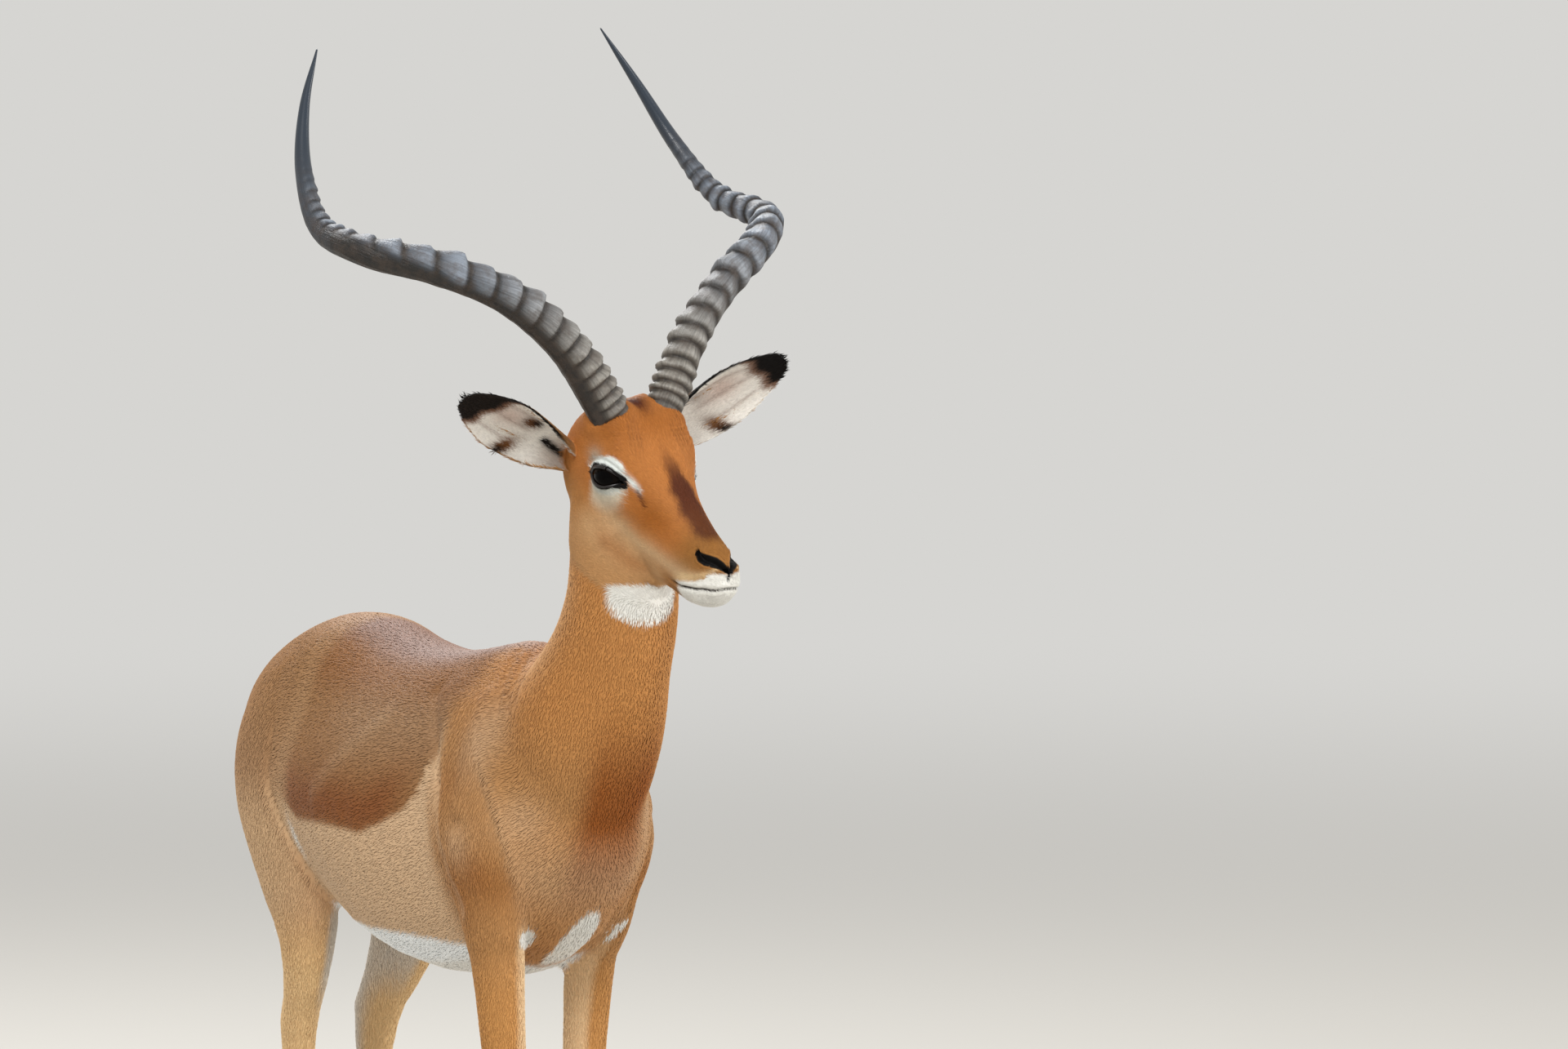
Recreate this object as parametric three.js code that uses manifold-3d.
// A life-size adult male impala, standing still with its head raised and turned a little to its left.
// Millimetres, +Z up, +X the way the body faces, +Y the animal's left. The origin lies on the floor
// under the middle of the bounding box.
import * as THREE from "three";
import { mergeVertices } from "three/addons/utils/BufferGeometryUtils.js";
import Module from "manifold-3d";

const wasm = await Module();
wasm.setup();

// ---- driving dimensions ----
const WITHERS = 900; // height of the withers, to which every other size was drawn
const BARREL_HALF = 150; // half width of the ribcage at its widest
const EAR_LENGTH = 182;
const EAR_HALF = 39; // half width of the ear where it is broadest
const EYE_RADIUS = 22;
const HORN_BASE = 22.5; // radius of the horn sheath where it leaves the brow
const HORN_RINGS = 17; // raised rings over the lower part of the horn
const HOOF_HEIGHT = 38;
const TAIL_DROP = 300;
const GAP = 0.4; // width of the thin cuts between neighbouring pieces
// Middle of the bounding box, from the spot the body is drawn round.
const BOX_CENTRE = new THREE.Vector2(109, -37);

// ---- pose ----
const HEAD_AT = new THREE.Vector3(459, -11, 1139); // middle of the back of the skull
const HEAD_YAW = 15; // degrees to the animal's left
const HEAD_PITCH = 35; // degrees nose down
const HEAD_ROLL = 3; // degrees, left side up
const EAR_ROOT = { left: [14, 60.5, 0.5], right: [21.5, -39.5, -7] }; // these three in the head's own frame
const EAR_WAY = { left: [0.1, 0.77, 0.65], right: [-0.2, -0.89, 0.4] }; // from root to tip
const EAR_HOLLOW = { left: [0.93, -0.1, 0.21], right: [0.94, -0.22, -0.26] };
const FORE_STEP = { left: -36, right: 60 }; // how far ahead of square each foot stands
const HIND_STEP = { left: -66, right: 62 };
const TOE_OUT = 10; // degrees each hind foot turns outwards

const SIDES = [["left", 1], ["right", -1]];
const rad = THREE.MathUtils.degToRad;
const V = (x, y, z) => new THREE.Vector3(x, y, z);

const matt = (name, color, roughness = 0.75) =>
  new THREE.MeshStandardMaterial({ name, color, roughness, metalness: 0 });
const FINISH = {
  redCoat: matt("red_coat", 0x9c5a2c),
  tanCoat: matt("tan_coat", 0xbd8148),
  paleCoat: matt("pale_coat", 0xe4ddd0),
  eye: matt("eye", 0x120c08, 0.08),
  horn: matt("horn", 0x57514d, 0.55),
  hoof: matt("hoof", 0x1c1918, 0.4),
};

// ---- solids ----

// One ring of points round a middle: its reach to each side and up and down. A sharp of 2 is an ellipse,
// more is boxier and less is more keeled.
function ring({ at, up, side, top, bottom, half, sharpTop = 2, sharpBottom = 2 }, count) {
  const bend = (c, sharp) => Math.sign(c) * Math.abs(c) ** (2 / sharp);
  return Array.from({ length: count }, (_, k) => {
    const turn = (2 * Math.PI * k) / count;
    const [s, c] = [Math.sin(turn), Math.cos(turn)];
    const sharp = c >= 0 ? sharpTop : sharpBottom;
    return at
      .clone()
      .addScaledVector(side, half * bend(s, sharp))
      .addScaledVector(up, (c >= 0 ? top : bottom) * bend(c, sharp));
  });
}

// A closed body through rings of points, each end closed by a fan round its middle.
function loft(rings) {
  const count = rings[0].length;
  const points = rings.flat();
  const index = [];
  const next = (j) => (j + 1) % count;
  for (let i = 0; i + 1 < rings.length; i++)
    for (let j = 0; j < count; j++) {
      const [a, b] = [i * count + j, i * count + next(j)];
      index.push(a, b, b + count, a, b + count, a + count);
    }
  for (const i of [0, rings.length - 1]) {
    const middle = rings[i].reduce((sum, p) => sum.add(p), V(0, 0, 0)).divideScalar(count);
    const hub = points.push(middle) - 1;
    for (let j = 0; j < count; j++) {
      const [a, b] = [i * count + j, i * count + next(j)];
      index.push(...(i ? [hub, a, b] : [hub, b, a]));
    }
  }
  return solid(new THREE.BufferGeometry().setFromPoints(points).setIndex(index));
}

// A solid from a closed geometry, turned outside out if its faces point inwards.
function solid(geometry) {
  geometry.deleteAttribute("normal");
  geometry.deleteAttribute("uv");
  const merged = mergeVertices(geometry, 1e-3);
  const vertProperties = new Float32Array(merged.attributes.position.array);
  const make = (index) =>
    new wasm.Manifold(new wasm.Mesh({ numProp: 3, vertProperties, triVerts: new Uint32Array(index) }));
  const index = Array.from(merged.index.array);
  const first = make(index);
  return first.volume() > 0 ? first : make(index.reverse());
}

// The largest piece of a cut solid as a geometry, so that slivers left by a cut are dropped.
function geometryOf(made) {
  const largest = made.decompose().reduce((a, b) => (b.volume() > a.volume() ? b : a));
  const mesh = largest.getMesh();
  const points = new Float32Array(mesh.numVert * 3);
  for (let i = 0; i < mesh.numVert; i++)
    points.set(mesh.vertProperties.subarray(i * mesh.numProp, i * mesh.numProp + 3), i * 3);
  const geometry = new THREE.BufferGeometry();
  geometry.setAttribute("position", new THREE.BufferAttribute(points, 3));
  geometry.setIndex(new THREE.BufferAttribute(mesh.triVerts, 1));
  geometry.computeVertexNormals();
  return geometry;
}

// Everything on the side of a plane that its normal points to.
function beyond(point, normal, shift = 0) {
  const size = 3000;
  const way = normal.clone().normalize();
  const box = new THREE.BoxGeometry(size, size, size).translate(0, 0, size / 2 + shift);
  box.applyQuaternion(new THREE.Quaternion().setFromUnitVectors(V(0, 0, 1), way));
  return solid(box.translate(point.x, point.y, point.z));
}

// Splits a solid by a plane into the part its normal points to and the rest, a thin cut apart.
function split(made, point, normal) {
  return [made.intersect(beyond(point, normal, GAP / 2)), made.subtract(beyond(point, normal, -GAP / 2))];
}

// Rows of numbers become stations with named sizes.
const table = (names, rows) => rows.map((row) => Object.fromEntries(names.map((name, k) => [name, row[k]])));
const evenly = (from, to, count) =>
  Array.from({ length: count }, (_, k) => from + ((to - from) * k) / (count - 1));

// Smooth values between stations, where key says how far along a station is.
function between(stations, key, at) {
  const last = stations.length - 1;
  const found = stations.findIndex((s) => s[key] > at);
  const i = found < 0 ? last - 1 : Math.max(0, found - 1);
  const [b, c] = [stations[i], stations[i + 1]];
  const [a, d] = [stations[Math.max(0, i - 1)], stations[Math.min(last, i + 2)]];
  const step = c[key] - b[key];
  const t = THREE.MathUtils.clamp((at - b[key]) / step, 0, 1);
  const [t2, t3] = [t * t, t * t * t];
  const mix = (name) =>
    (2 * t3 - 3 * t2 + 1) * b[name] +
    (t3 - 2 * t2 + t) * ((c[name] - a[name]) / (c[key] - a[key])) * step +
    (3 * t2 - 2 * t3) * c[name] +
    (t3 - t2) * ((d[name] - b[name]) / (d[key] - b[key])) * step;
  return Object.fromEntries(Object.keys(b).map((name) => [name, mix(name)]));
}

// Pushes points of rings out or in round a place, for a muscle or a bone under the skin.
function swell(rings, swellings) {
  for (const [at, reach, push] of swellings)
    for (const point of rings.flat()) {
      const away = point.distanceTo(at) / reach;
      point.addScaledVector(push, Math.exp(-2 * away * away));
    }
  return rings;
}

// The same swellings on both sides of the middle plane.
const paired = (swellings) =>
  swellings.flatMap(([at, reach, push]) => [
    [at, reach, push],
    [V(at.x, -at.y, at.z), reach, V(push.x, -push.y, push.z)],
  ]);

// Rings at right angles to +X, from stations of heights and half widths.
function lengthways(stations, places, count, grow = 0) {
  return places.map((x) => {
    const s = between(stations, "x", x);
    const sizes = { top: s.top - s.broad + grow, bottom: s.broad - s.low + grow, half: s.half + grow };
    return ring({ ...s, ...sizes, at: V(x, 0, s.broad), up: V(0, 0, 1), side: V(0, 1, 0) }, count);
  });
}

// Rings at right angles to a middle line. levels(t) is the way across, which each ring keeps to.
function along(stations, places, count, levels, grow = 0) {
  const at = (t) => {
    const s = between(stations, "t", t);
    return V(s.x, s.y, s.z);
  };
  const end = stations.at(-1).t;
  return places.map((t) => {
    const s = between(stations, "t", t);
    const ahead = at(Math.min(end, t + 0.01)).sub(at(Math.max(stations[0].t, t - 0.01))).normalize();
    const up = V(0, 0, 0).crossVectors(ahead, levels(t)).normalize();
    const side = V(0, 0, 0).crossVectors(up, ahead);
    const sizes = { top: s.top + grow, bottom: s.bottom + grow, half: s.half + grow };
    return ring({ ...s, ...sizes, at: V(s.x, s.y, s.z), up, side }, count);
  });
}

// ---- trunk ----
const TRUNK = table(
  ["x", "top", "broad", "low", "half", "sharpTop", "sharpBottom"],
  [
    [-432, 796, 764, 726, 24, 2, 2],
    [-420, 824, 762, 678, 52, 2, 2],
    [-386, 852, 756, 646, 84, 1.95, 2],
    [-330, 880, 745, 620, 108, 1.8, 2],
    [-250, 900, 735, 594, 122, 1.7, 2],
    [-180, 904, 722, 568, 131, 1.7, 2],
    [-90, 889, 700, 536, 142, 1.75, 2],
    [0, 877, 686, 514, BARREL_HALF, 1.85, 2.1],
    [90, 877, 680, 505, 145, 1.85, 2.1],
    [180, 888, 684, 508, 132, 1.75, 2.05],
    [250, WITHERS, 690, 516, 116, 1.7, 2],
    [310, 898, 700, 536, 108, 1.75, 2],
    [360, 872, 706, 566, 98, 1.9, 2],
    [400, 838, 712, 604, 80, 2, 2],
    [428, 800, 716, 644, 56, 2, 2],
    [440, 765, 720, 674, 28, 2, 2],
  ],
);
const TRUNK_PLACES = [
  -432, -420, -396, -362, -322, -278, -232, -186, -136, -80, -20, 40,
  100, 155, 205, 250, 295, 335, 370, 400, 422, 434, 440,
];

function trunkSolid() {
  const rings = lengthways(TRUNK, TRUNK_PLACES, 26);
  const hip = [V(-185, 88, 872), 62, V(0, 6, 18)];
  const flank = [V(-130, 132, 790), 80, V(0, -12, 0)];
  const ribs = [V(60, 145, 690), 150, V(0, 5, 0)];
  const sheath = [V(-95, 0, 530), 55, V(0, 0, -9)];
  const breast = [V(425, 0, 690), 70, V(12, 0, 0)];
  return loft(swell(rings, [...paired([hip, flank, ribs]), sheath, breast]));
}

// ---- neck ----
const NECK = table(
  ["t", "x", "y", "z", "top", "bottom", "half", "sharpTop", "sharpBottom"],
  [
    [0, 300, 0, 690, 110, 120, 86, 2, 2],
    [0.18, 356, 2, 760, 112, 124, 92, 2, 1.95],
    [0.34, 418, 5, 828, 102, 108, 82, 1.9, 1.85],
    [0.5, 463, 8, 895, 84, 94, 70, 1.85, 1.85],
    [0.66, 488, 9, 962, 74, 83, 63, 1.9, 1.9],
    [0.8, 494, 4, 1026, 66, 72, 58, 1.9, 1.95],
    [0.92, 498, 0, 1084, 62, 70, 52, 2, 2],
    [1, 500, -3, 1126, 48, 60, 40, 2, 2],
  ],
);
const NECK_BASE = V(387, 0, 792); // where the neck parts from the trunk
const NECK_LEAN = V(0.8, 0, 0.6);
const THROAT = V(534, 0, 978); // where the head parts from the neck, just under the corner of the jaw
const THROAT_LEAN = V(0.5, 0, 0.87);

function neckSolid() {
  const rings = along(NECK, evenly(0, 1, 13), 22, () => V(0, 1, 0));
  const jugular = [V(505, 52, 870), 60, V(0, -7, 0)];
  return loft(swell(rings, paired([jugular])));
}

// ---- head, in its own frame: +X to the nose, +Y left, +Z to the brow ----
const HEAD = table(
  ["x", "top", "broad", "low", "half", "sharpTop", "sharpBottom"],
  [
    [-10, 36, 6, -30, 28, 2, 2],
    [0, 54, 8, -54, 43, 2.2, 2],
    [24, 70, 12, -78, 54, 2.6, 1.9],
    [52, 76, 16, -92, 56, 2.7, 1.75],
    [78, 74, 20, -96, 56, 2.6, 1.65],
    [100, 68, 22, -93, 56.5, 2.4, 1.6],
    [120, 61, 18, -88, 51, 2.3, 1.6],
    [140, 55, 8, -82, 43, 2.2, 1.6],
    [160, 49.5, 0, -74, 37, 2.1, 1.65],
    [180, 45, -4, -65, 33, 2.1, 1.8],
    [200, 41, -6, -57, 30, 2.1, 1.95],
    [220, 37.5, -7, -51, 28, 2.2, 2.1],
    [240, 34, -8, -46, 27.5, 2.3, 2.3],
    [255, 30.5, -9, -42, 27, 2.4, 2.3],
    [267, 26, -9, -36, 25, 2.4, 2.2],
    [276, 18, -9, -28, 20, 2.3, 2],
    [282, 7, -9, -19, 12, 2, 2],
    [284, -3, -9, -12, 5, 2, 2],
  ],
);
const HEAD_PLACES = [
  -10, -3, 8, 24, 42, 60, 76, 90, 102, 114, 126, 140,
  155, 171, 188, 205, 221, 236, 248, 258, 267, 274, 280, 284,
];
const EYE_AT = V(91, 42.5, 20);

function headSolid(grow = 0) {
  const rings = lengthways(HEAD, HEAD_PLACES, 26, grow);
  const brow = [V(92, 50, 48), 22, V(0, 5, 5)];
  const browTop = [V(82, 40, 68), 26, V(2, 5, 8)];
  const pedicle = [V(44, 42, 74), 32, V(0, 4, 12)];
  const cheek = [V(76, 44, -40), 34, V(0, 5, 0)];
  const cheekbone = [V(118, 50, 6), 20, V(0, 4, 0)];
  const tearPit = [V(134, 45, 26), 16, V(0, -4, 0)];
  const muzzleSide = [V(170, 34, 0), 24, V(0, -3, 0)];
  const nostril = [V(262, 22, 6), 13, V(1, 3, 2)];
  const lip = [V(250, 24, -24), 18, V(0, 2, 0)];
  return loft(
    swell(rings, paired([brow, browTop, pedicle, cheek, cheekbone, tearPit, muzzleSide, nostril, lip])),
  );
}

const ball = (radius, at, segments = 16, stretch = [1, 1, 1]) =>
  solid(
    new THREE.SphereGeometry(radius, segments, segments / 2).scale(...stretch).translate(at.x, at.y, at.z),
  );

// The lower jaw is the part of the head under the line of the mouth, back to the cheek.
function jawRegion(back, up) {
  const outline = [
    [300, -16], [283, -17.5], [262, -21], [240, -24], [217, -27],
    [165, -38], [134, -54], [124, -74], [124, -140], [300, -140],
  ];
  const shape = new THREE.Shape(outline.map(([x, z]) => new THREE.Vector2(x, z)));
  const slab = new THREE.ExtrudeGeometry(shape, { depth: 200, bevelEnabled: false });
  return solid(slab.translate(-back, up, -100).rotateX(Math.PI / 2));
}

// ---- ears: a cupped leaf along +Z, its hollow facing +X ----
const EAR = table(
  ["t", "half", "depth", "open", "wall", "curl", "sag"],
  [
    [0, 16, 14, 150, 4, 0, 0],
    [0.1, 20, 16, 135, 3.5, 0, 1],
    [0.25, 29, 19, 112, 3, 0, 4],
    [0.42, 36, 18, 95, 2.8, -2, 6],
    [0.6, EAR_HALF, 15, 84, 2.6, -3, 6],
    [0.76, 33, 11, 78, 2.4, -2, 4],
    [0.89, 24, 8, 74, 2.2, 1, 1],
    [0.97, 14, 5, 72, 2, 3, -1],
    [1, 6, 3, 70, 1.8, 4, -2],
  ],
);

function earSolid(side) {
  const rings = evenly(0, 1, 12).map((t) => {
    const s = between(EAR, "t", t);
    const wall = (inwards) => (_, k) => {
      const turn = rad(s.open) * (k / 4.5 - 1);
      const [x, y] = [-(s.depth - inwards) * Math.cos(turn), (s.half - inwards) * Math.sin(turn)];
      return V(x + s.curl + s.depth / 2, y + s.sag * side, t * EAR_LENGTH);
    };
    const outer = Array.from({ length: 10 }, wall(0));
    const inner = Array.from({ length: 10 }, wall(s.wall)).reverse();
    return [...outer, ...inner];
  });
  return loft(rings);
}

// ---- horns: the left one's middle line, in the head ----
const HORN_LINE = [
  [64, 20, 46], [40, 43, 76], [-8, 89, 130], [-53, 154, 169], [-100, 230, 182],
  [-165, 283, 162], [-245, 280, 134], [-322, 262, 153], [-387, 235, 191], [-440, 200, 233],
];
const HORN_TAPER = table(
  ["t", "size"],
  [
    [0, 1], [0.15, 0.95], [0.35, 0.88], [0.5, 0.8], [0.6, 0.67],
    [0.7, 0.52], [0.8, 0.41], [0.88, 0.29], [0.94, 0.18], [1, 0.04],
  ],
);
const RINGED = 0.74; // share of the horn that carries rings

function hornSolid(side) {
  const line = new THREE.CatmullRomCurve3(HORN_LINE.map(([x, y, z]) => V(x, y * side, z)));
  const buried = 0.055; // share of the line inside the head
  const crests = evenly(0, RINGED, 2 * HORN_RINGS + 1).map((t, k) => [t, k % 2 ? 1.07 : 0.95]);
  const smooth = [0.78, 0.83, 0.88, 0.94, 0.98, 1].map((t) => [t, 1]);
  const places = [[-buried, 0.95], ...crests, ...smooth];
  const rings = places.map(([t, swollen]) => {
    const u = THREE.MathUtils.clamp(buried + t * (1 - buried), 0, 1);
    const ahead = line.getTangentAt(u);
    const up = V(0, 0, 0).crossVectors(ahead, V(0.3, side, 0)).normalize().multiplyScalar(side);
    const across = V(0, 0, 0).crossVectors(up, ahead);
    const size = HORN_BASE * between(HORN_TAPER, "t", Math.max(0, t)).size * swollen;
    const at = line.getPointAt(u);
    return ring({ at, up, side: across, top: size * 1.06, bottom: size, half: size * 0.94 }, 10);
  });
  return loft(rings);
}

// ---- legs: the middle line down each leg, drawn for the left side and standing square ----
const FORELEG = table(
  ["t", "x", "y", "z", "top", "bottom", "half", "step", "toe"],
  [
    [0, 262, 62, 836, 36, 42, 18, 0, 0],
    [0.12, 280, 82, 750, 62, 64, 33, 0.05, 0],
    [0.24, 302, 91, 672, 76, 72, 41, 0.15, 0],
    [0.34, 298, 79, 606, 62, 62, 34, 0.4, 0],
    [0.42, 286, 74, 550, 40, 48, 29, 0.75, 0],
    [0.5, 281, 75, 490, 32, 35, 27, 1, 0],
    [0.6, 282, 70, 410, 27, 28, 24.5, 1, 0],
    [0.69, 285, 68, 338, 27, 25, 23, 1, 0],
    [0.745, 282, 67, 292, 19, 19, 16.5, 1, 0],
    [0.82, 281, 66, 220, 15.5, 16, 13.5, 1, 0],
    [0.9, 281, 66, 150, 15.5, 17, 14.5, 1, 0],
    [0.95, 282, 66, 108, 19, 21, 19, 1, 0],
    [0.98, 290, 66, 74, 17, 17, 17, 1, 0],
    [1, 301, 66, 40, 21, 19, 21, 1, 0],
  ],
);
const HINDLEG = table(
  ["t", "x", "y", "z", "top", "bottom", "half", "step", "toe"],
  [
    [0, -285, 58, 832, 64, 68, 30, 0, 0],
    [0.12, -272, 83, 755, 92, 104, 45, 0.1, 0],
    [0.24, -254, 89, 680, 100, 111, 43, 0.25, 0],
    [0.33, -234, 90, 610, 92, 96, 39, 0.5, 0.2],
    [0.41, -234, 88, 548, 66, 86, 34, 0.75, 0.6],
    [0.49, -256, 84, 488, 47, 58, 26, 0.9, 0.9],
    [0.56, -286, 80, 438, 35, 42, 20.5, 1, 1],
    [0.61, -300, 77, 400, 33, 38, 19, 1, 1],
    [0.67, -303, 75, 348, 23, 24, 16.5, 1, 1],
    [0.76, -302, 73, 270, 16, 17, 13.5, 1, 1],
    [0.87, -300, 72, 170, 15.5, 17.5, 14.5, 1, 1],
    [0.94, -297, 72, 112, 19, 21, 19, 1, 1],
    [0.975, -288, 72, 76, 17, 17, 17, 1, 1],
    [1, -276, 72, 40, 21, 19, 21, 1, 1],
  ],
);
// Bumps at the back of a leg: how far down it, how far behind its middle line, the reach and the height.
const ELBOW = [0.41, 45, 34, 10];
const HOCK_POINT = [0.6, 42, 36, 26];
const LEGS = {
  foreleg: { stations: FORELEG, steps: FORE_STEP, joint: 0.7, rings: 22, bumps: [ELBOW] },
  hindleg: { stations: HINDLEG, steps: HIND_STEP, joint: 0.66, rings: 23, bumps: [HOCK_POINT] },
};

function legSolid({ stations, steps, rings, bumps }, name, side, grow = 0) {
  const placed = stations.map((s) => ({ ...s, x: s.x + s.step * steps[name], y: s.y * side }));
  const across = (t) => {
    const turn = rad(TOE_OUT) * between(placed, "t", t).toe * side;
    return V(-Math.sin(turn), Math.cos(turn), 0);
  };
  const made = along(placed, evenly(0, 1, rings), 14, across, grow);
  for (const point of made.at(-1)) point.z = HOOF_HEIGHT + GAP - grow;
  for (const point of made[0]) point.z += 2 * grow;
  const bones = bumps.map(([t, back, reach, push]) => {
    const s = between(placed, "t", t);
    return [V(s.x - back, s.y, s.z), reach, V(-push, 0, 0)];
  });
  return loft(swell(made, bones));
}

// One claw of a cloven hoof: a flat sole with a pointed toe, sloping back to the coronet.
const CLAW = table(
  ["z", "front", "back", "half"],
  [[0, 36, 21, 11], [10, 33, 21.5, 11.2], [24, 23, 19.5, 10.8], [HOOF_HEIGHT, 10, 15, 9.6]],
);

function clawSolid(x, y, turn, outwards) {
  const fore = V(Math.cos(turn), Math.sin(turn), 0);
  const side = V(-Math.sin(turn), Math.cos(turn), 0);
  const middle = V(x, y, 0).addScaledVector(side, outwards * 12.6);
  const rings = CLAW.map((s) =>
    ring(
      {
        at: V(middle.x, middle.y, s.z), up: fore, side,
        top: s.front, bottom: s.back, half: s.half, sharpTop: 1.55,
      },
      12,
    ),
  );
  return loft(rings);
}

// ---- tail: hangs close behind the buttocks ----
const TAIL = table(
  ["t", "x", "y", "z", "top", "bottom", "half"],
  [
    [0, -404, 0, 818, 15, 15, 17],
    [0.14, -440, 0, 790, 13, 13, 17],
    [0.35, -456, 0, 720, 11, 11, 20],
    [0.6, -458, 0, 640, 11, 12, 25],
    [0.82, -456, 0, 568, 10, 12, 24],
    [1, -455, 0, 818 - TAIL_DROP, 4, 5, 8],
  ],
);

// ---- assembly ----
const animal = new THREE.Group();
const body = new THREE.Group();
const head = new THREE.Group();
body.position.set(-BOX_CENTRE.x, -BOX_CENTRE.y, 0);
head.position.copy(HEAD_AT);
head.rotation.set(rad(HEAD_ROLL), rad(HEAD_PITCH), rad(HEAD_YAW), "ZYX");
head.updateMatrix();
body.add(head);
animal.add(body);

function put(group, name, made, finish) {
  const mesh = new THREE.Mesh(geometryOf(made), finish);
  mesh.name = name;
  group.add(mesh);
  return mesh;
}

// From the head's own frame to the body's, and back.
const inBody = (made) => made.transform(head.matrix.elements);
const inHead = (made) => made.transform(head.matrix.clone().invert().elements);

function buildBody() {
  let trunk = trunkSolid();
  const neck = neckSolid();
  const legs = SIDES.flatMap(([name, side]) =>
    Object.entries(LEGS).map(([kind, leg]) => ({ kind, name, side, leg, joint: leg.joint })),
  );
  for (const { kind, name, side, leg, joint } of legs) {
    trunk = trunk.subtract(legSolid(leg, name, side, GAP));
    const at = between(leg.stations, "t", joint);
    const [upper, lower] = split(
      legSolid(leg, name, side),
      V(at.x + leg.steps[name], at.y * side, at.z),
      V(kind === "hindleg" ? 0.25 : 0, 0, 1),
    );
    put(body, `${kind}_upper_${name}`, upper, FINISH.tanCoat);
    put(body, `${kind}_lower_${name}`, lower, FINISH.tanCoat);
    const foot = leg.stations.at(-1);
    const turn = rad(TOE_OUT) * foot.toe * side;
    for (const [place, outwards] of [["outer", side], ["inner", -side]])
      put(
        body,
        `hoof_${kind.slice(0, 4)}_${name}_${place}`,
        clawSolid(foot.x + leg.steps[name] + 2, foot.y * side, turn, outwards),
        FINISH.hoof,
      );
  }
  const [, behind] = split(trunk, NECK_BASE, NECK_LEAN);
  const [ahead] = split(trunk.add(neck.subtract(legSolids(0.4))), NECK_BASE, NECK_LEAN);
  put(body, "trunk", behind.subtract(loft(tailRings(GAP))), FINISH.redCoat);
  const [, underHead] = split(ahead.add(inBody(headSolid())), THROAT, THROAT_LEAN);
  put(body, "neck", underHead, FINISH.tanCoat);
  put(body, "tail", loft(tailRings()), FINISH.paleCoat);
}

const tailRings = (grow = 0) => along(TAIL, evenly(0, 1, 11), 12, () => V(0, 1, 0), grow);
const legSolids = (grow) =>
  SIDES.map(([name, side]) => legSolid(LEGS.foreleg, name, side, grow)).reduce((a, b) => a.add(b));

function buildHead() {
  const [overThroat] = split(neckSolid().add(inBody(headSolid())), THROAT, THROAT_LEAN);
  let skull = inHead(overThroat);
  for (const [name, side] of SIDES) {
    const eyeAt = V(EYE_AT.x, EYE_AT.y * side, EYE_AT.z);
    skull = skull.subtract(ball(EYE_RADIUS + GAP, eyeAt));
    put(head, `eye_${name}`, ball(EYE_RADIUS, eyeAt), FINISH.eye);
    put(head, `horn_${name}`, hornSolid(side).subtract(headSolid(GAP)), FINISH.horn);
    skull = skull.subtract(ball(5, V(271, 17 * side, 3), 10, [1.2, 0.8, 0.7]));
    const ear = earSolid(side).transform(earMatrix(name).elements);
    put(head, `ear_${name}`, ear.subtract(headSolid(GAP)).subtract(hornSolid(side)), FINISH.tanCoat);
  }
  put(head, "jaw", skull.intersect(jawRegion(0, 0)), FINISH.paleCoat);
  put(head, "head", skull.subtract(jawRegion(GAP, GAP)), FINISH.tanCoat);
}

// Stands an ear on the side of the skull, its tip along EAR_WAY and its hollow to the front.
function earMatrix(name) {
  const tip = V(...EAR_WAY[name]).normalize();
  const across = V(0, 0, 0).crossVectors(tip, V(...EAR_HOLLOW[name])).normalize();
  const hollow = V(0, 0, 0).crossVectors(across, tip);
  return new THREE.Matrix4().makeBasis(hollow, across, tip).setPosition(V(...EAR_ROOT[name]));
}

buildBody();
buildHead();

export default animal;
